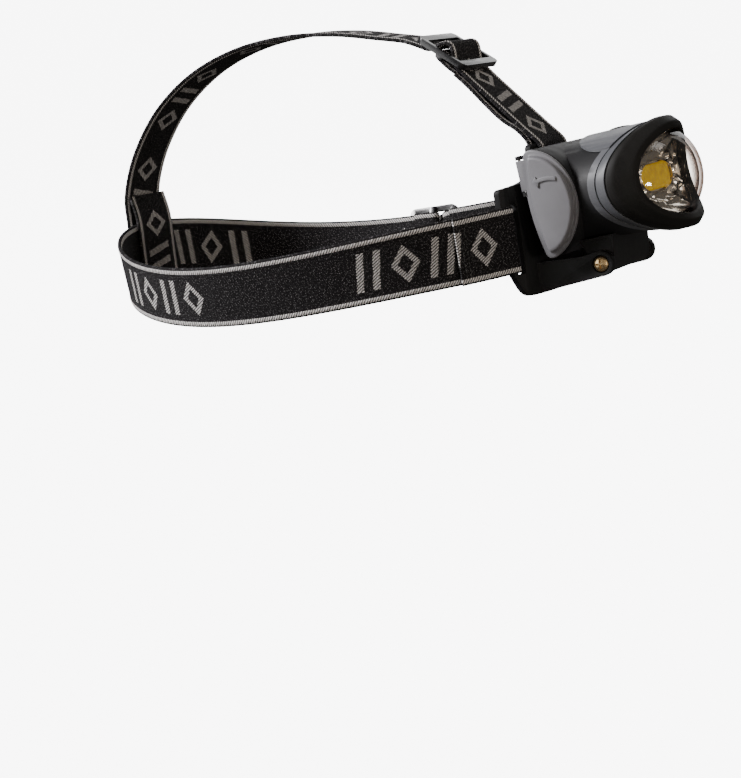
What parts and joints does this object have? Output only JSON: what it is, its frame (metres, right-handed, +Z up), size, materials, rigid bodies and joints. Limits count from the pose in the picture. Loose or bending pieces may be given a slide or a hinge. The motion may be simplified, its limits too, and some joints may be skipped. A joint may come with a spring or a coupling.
{
  "type": "headlamp",
  "caption": "Tilting LED headlamp on a forehead bracket, with a dome lens, side battery cap and woven elastic straps.",
  "frame": {"origin": "centre of the head opening, in the plane where the headband meets the sides of the head", "axes": "+X the way the wearer faces, +Y the wearer's left, +Z up as worn; the beam points 15 degrees above +X at rest"},
  "size_m": [0.249, 0.1671, 0.1119],
  "materials": {
    "black_shell": "satin moulded black",
    "grey_collar": "satin dark grey",
    "grey_cap": "matt mid grey",
    "black_rubber": "matt",
    "clear_lens": "clear polished",
    "bright_reflector": "metallised mirror",
    "yellow_phosphor": "satin silicone",
    "circuit_board": "solder mask",
    "aluminium": "brushed",
    "cell_sleeve": "printed sleeve over metal",
    "spring_steel": "plated",
    "brass": "plated, lightly worn",
    "red_insulation": "smooth",
    "black_insulation": "smooth",
    "black_foam": "closed-cell foam with cloth face",
    "woven_webbing": "black elastic twill with pale stripes"
  },
  "bodies": {
    "bracket_and_straps": {"forehead_bracket": "black_shell", "forehead_pad": "black_foam", "hinge_screw": "brass", "hinge_nut": "spring_steel", "hinge_washer_1": "black_rubber", "hinge_washer_2": "black_rubber", "headband": "woven_webbing", "headband_left": "woven_webbing", "crown_strap_rear": "woven_webbing", "crown_strap_front": "woven_webbing"},
    "lamp": {"housing_shell": "black_shell", "collar_rear": "grey_collar", "collar_front": "grey_collar", "bezel_ring": "black_shell", "lens_gasket": "black_rubber", "lens": "clear_lens", "reflector": "bright_reflector", "cob_phosphor": "yellow_phosphor", "cob_board": "circuit_board", "heat_spreader": "aluminium", "battery_1": "cell_sleeve", "battery_2": "cell_sleeve", "battery_3": "cell_sleeve", "contact_spring_1": "spring_steel", "contact_spring_2": "spring_steel", "contact_spring_3": "spring_steel", "contact_board": "circuit_board", "push_switch": "black_shell", "switch_board": "circuit_board", "lead_positive": "red_insulation", "lead_negative": "black_insulation", "cap_hinge_pin": "spring_steel"},
    "cap": {"battery_cap": "grey_cap", "cap_contact_plate": "spring_steel"},
    "button": {"switch_button": "black_rubber"},
    "slider": {"crown_slider": "black_shell", "crown_strap_end": "woven_webbing"},
    "adjuster": {"headband_adjuster": "black_shell", "headband_end": "woven_webbing"}
  },
  "joints": [
    {"name": "lamp_tilt", "type": "hinge", "parent": "bracket_and_straps", "child": "lamp", "pos_m": [0.11874, 0, 0.01242], "axis": [0, 1, 0], "range_deg": [0, 60]},
    {"name": "battery_cap_hinge", "type": "hinge", "parent": "lamp", "child": "cap", "pos_m": [0.08975, -0.0292, 0.0441], "axis": [0.2588, 0, -0.9659], "range_deg": [0, 100]},
    {"name": "switch_press", "type": "slide", "parent": "lamp", "child": "button", "axis": [0.2588, 0, -0.9659], "range_m": [0, 0.0012], "stiffness_N_per_m": 1200, "springref_m": -0.0008},
    {"name": "crown_slider_slide", "type": "hinge", "parent": "bracket_and_straps", "child": "slider", "pos_m": [0.02, 0, 0.032], "axis": [0, 1, 0], "range_deg": [0, 14], "deforming": ["crown_strap_front"]},
    {"name": "headband_adjuster_slide", "type": "hinge", "parent": "bracket_and_straps", "child": "adjuster", "pos_m": [-0.00595, -0.03776, 0.02991], "axis": [0.1886, -0.2572, -0.9478], "range_deg": [0, 8], "deforming": ["headband_left"]}
  ]
}
